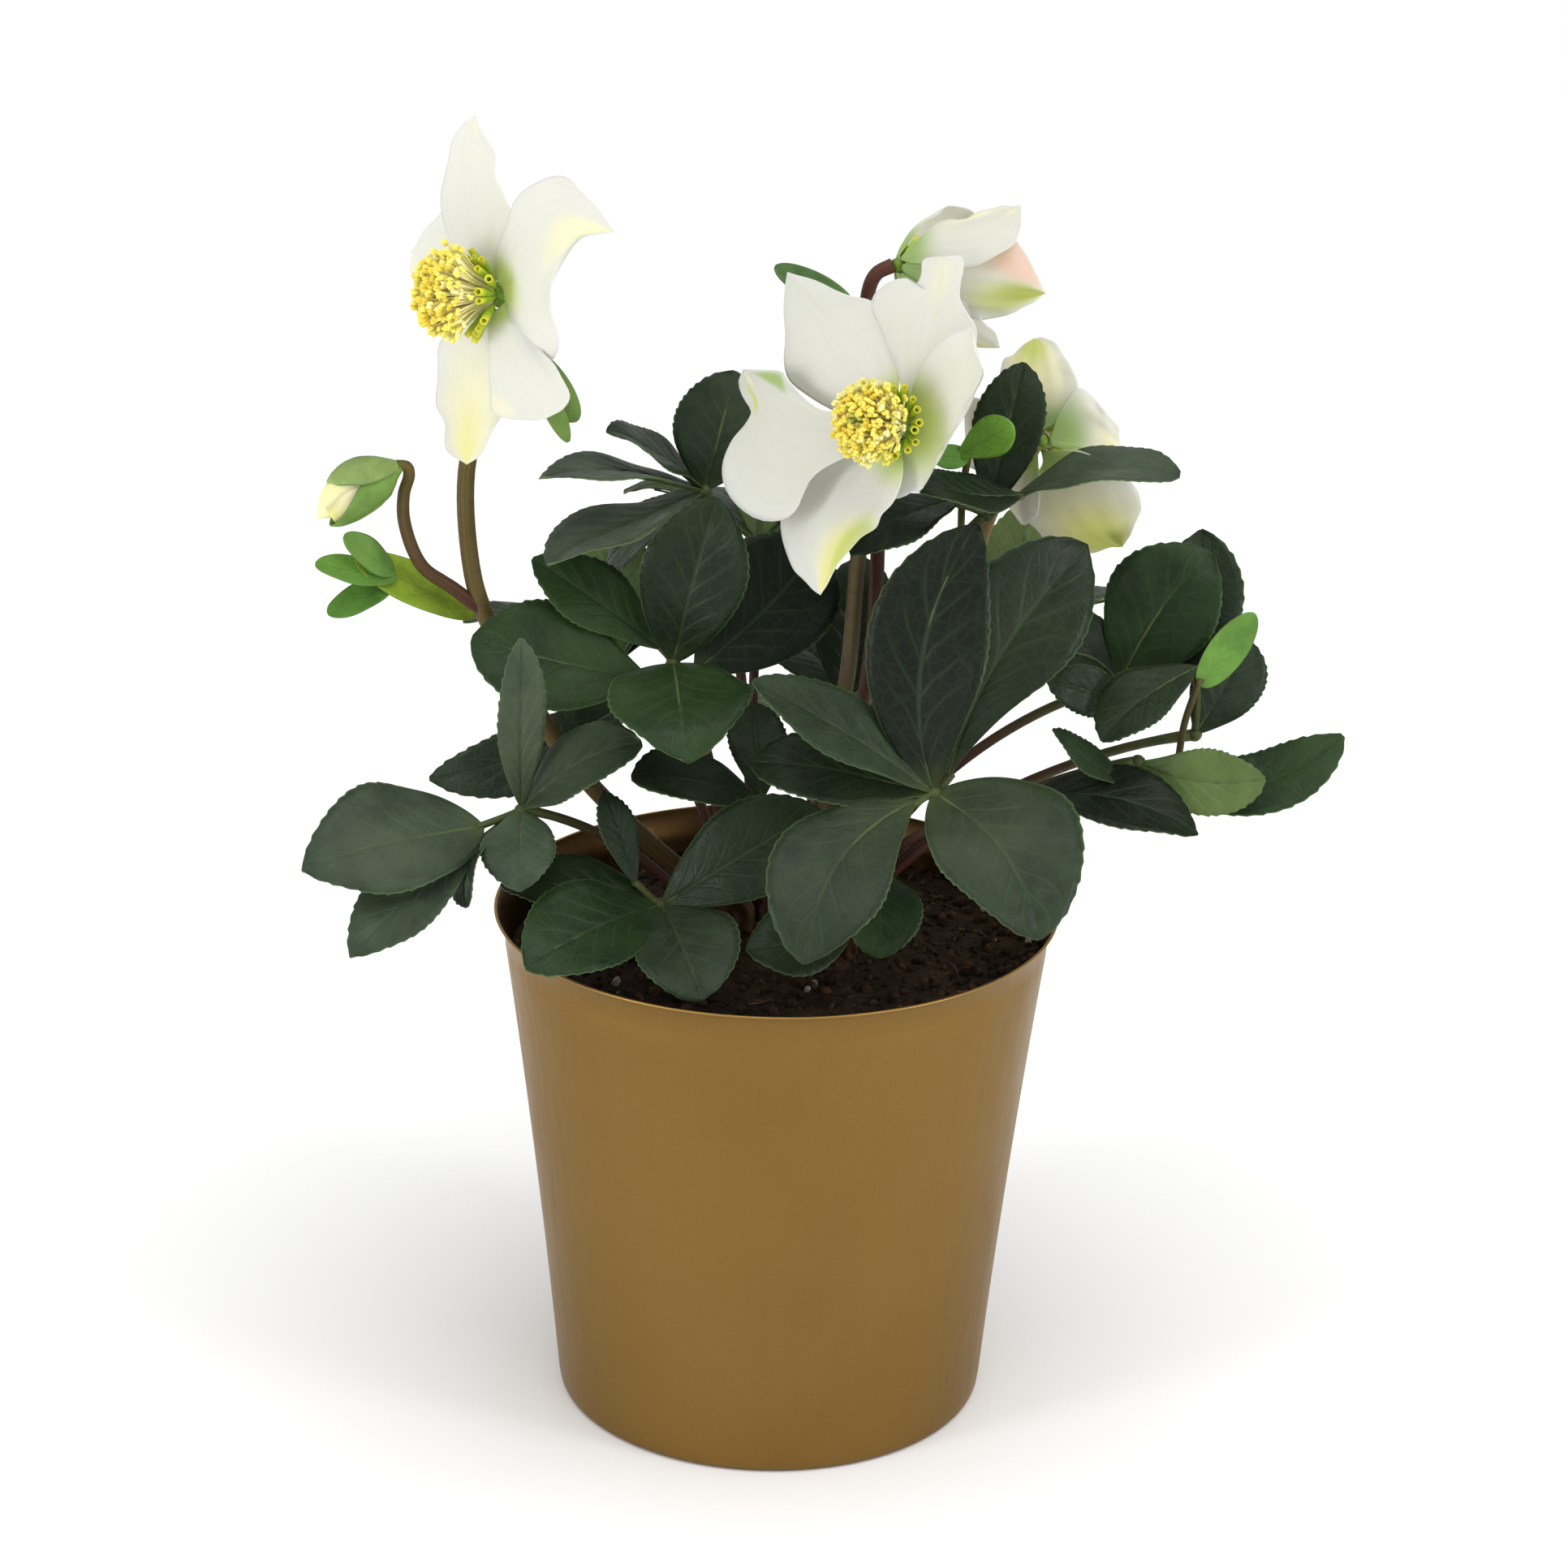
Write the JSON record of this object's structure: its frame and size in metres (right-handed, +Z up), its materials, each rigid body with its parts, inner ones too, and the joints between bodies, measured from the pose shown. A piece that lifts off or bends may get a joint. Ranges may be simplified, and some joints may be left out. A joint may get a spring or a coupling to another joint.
{
  "type": "potted hellebore",
  "caption": "Christmas rose with white five-sepalled flowers and dark leathery leaves, growing in a tapered satin gold cover pot with a flared lip.",
  "frame": {"origin": "centre of the pot's underside", "axes": "+Z up, -Y towards the front that most flowers and leaves face, +X to the plant's right as seen from the front"},
  "size_m": [0.2489, 0.1707, 0.3272],
  "materials": {
    "pot_metal": "satin gold lacquer",
    "soil": "matte, crumbly",
    "crown": "matte",
    "leaf": "satin, leathery",
    "stem": "satin",
    "sepal": "soft matte",
    "nectary": "satin",
    "stamen": "matte",
    "bract": "satin"
  },
  "bodies": {
    "root": {"pot": "pot_metal", "soil": "soil", "crown": "crown", "leaf_top_left": "leaf", "leaf_centre_left": "leaf", "leaf_centre_back": "leaf", "leaf_front_right": "leaf", "leaf_low_centre": "leaf", "leaf_front_left": "leaf", "leaf_low_middle": "leaf", "leaf_left": "leaf", "leaf_right": "leaf", "leaf_right_outer": "leaf", "leaf_right_low": "leaf", "leaf_right_front": "leaf", "leaf_top_right": "leaf", "leaf_back_left": "leaf", "leaf_back": "leaf", "leaf_back_right": "leaf", "leaf_back_high": "leaf", "stem_left": "stem", "stem_centre": "stem", "stem_back": "stem", "stem_right": "stem", "sepal_left_1": "sepal", "sepal_left_2": "sepal", "sepal_left_3": "sepal", "sepal_left_4": "sepal", "sepal_left_5": "sepal", "sepal_centre_1": "sepal", "sepal_centre_2": "sepal", "sepal_centre_3": "sepal", "sepal_centre_4": "sepal", "sepal_centre_5": "sepal", "sepal_back_1": "sepal", "sepal_back_2": "sepal", "sepal_back_3": "sepal", "sepal_back_4": "sepal", "sepal_back_5": "sepal", "sepal_right_1": "sepal", "sepal_right_2": "sepal", "sepal_right_3": "sepal", "sepal_right_4": "sepal", "sepal_right_5": "sepal", "nectaries_left": "nectary", "nectaries_centre": "nectary", "nectaries_back": "nectary", "nectaries_right": "nectary", "stamens_left": "stamen", "stamens_centre": "stamen", "stamens_back": "stamen", "stamens_right": "stamen", "bud_core": "sepal", "bud_sepal_upper": "bract", "bud_sepal_lower": "bract", "bract_left": "bract", "bract_left_flower": "bract", "bract_back_flower": "bract", "bract_centre": "bract", "bract_right": "bract"}
  },
  "joints": []
}
